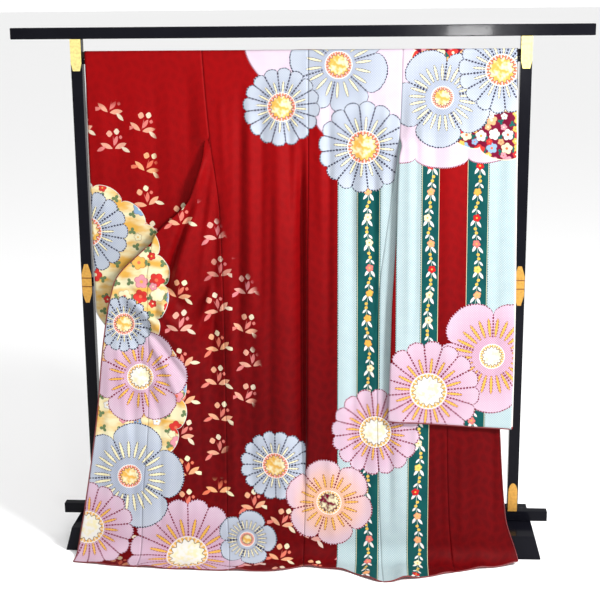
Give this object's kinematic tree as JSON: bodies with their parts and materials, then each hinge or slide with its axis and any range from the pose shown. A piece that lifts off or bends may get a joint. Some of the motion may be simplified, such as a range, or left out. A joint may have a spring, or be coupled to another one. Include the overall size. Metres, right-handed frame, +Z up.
{
  "type": "furisode on an iko kimono stand",
  "caption": "Long-sleeved silk kimono spread to show its back on a free-standing black lacquered kimono stand with brass fittings; the hem trails on the floor.",
  "frame": {"origin": "centre of the footprint of the whole object, on the surface it stands on", "axes": "+Z up, +X along the stand to the right, and -Y towards the viewer, who sees the back of the garment"},
  "size_m": [1.75, 0.451, 1.645],
  "materials": {
    "black_lacquer": "gloss black lacquer",
    "rod_wood": "dark satin lacquer",
    "brass": "polished",
    "printed_silk": "crimson figured silk with a dyed floral pattern, lined"
  },
  "bodies": {
    "root": {"top_rail": "black_lacquer", "mid_rail": "black_lacquer", "lower_rail": "black_lacquer", "post_left": "black_lacquer", "post_right": "black_lacquer", "foot_left": "black_lacquer", "foot_right": "black_lacquer", "hanging_rod": "rod_wood", "rod_peg_left": "black_lacquer", "brass_top_left_front": "brass", "brass_top_left_back": "brass", "brass_mid_left_front": "brass", "brass_mid_left_back": "brass", "brass_low_left_front": "brass", "brass_low_left_back": "brass", "rod_peg_right": "black_lacquer", "brass_top_right_front": "brass", "brass_top_right_back": "brass", "brass_mid_right_front": "brass", "brass_mid_right_back": "brass", "brass_low_right_front": "brass", "brass_low_right_back": "brass", "back_left": "printed_silk", "back_right": "printed_silk", "front_left": "printed_silk", "front_right": "printed_silk", "okumi_left": "printed_silk", "okumi_right": "printed_silk", "sleeve_left": "printed_silk", "sleeve_right": "printed_silk", "collar_end_left": "printed_silk", "collar_end_right": "printed_silk", "collar": "printed_silk"}
  },
  "joints": []
}
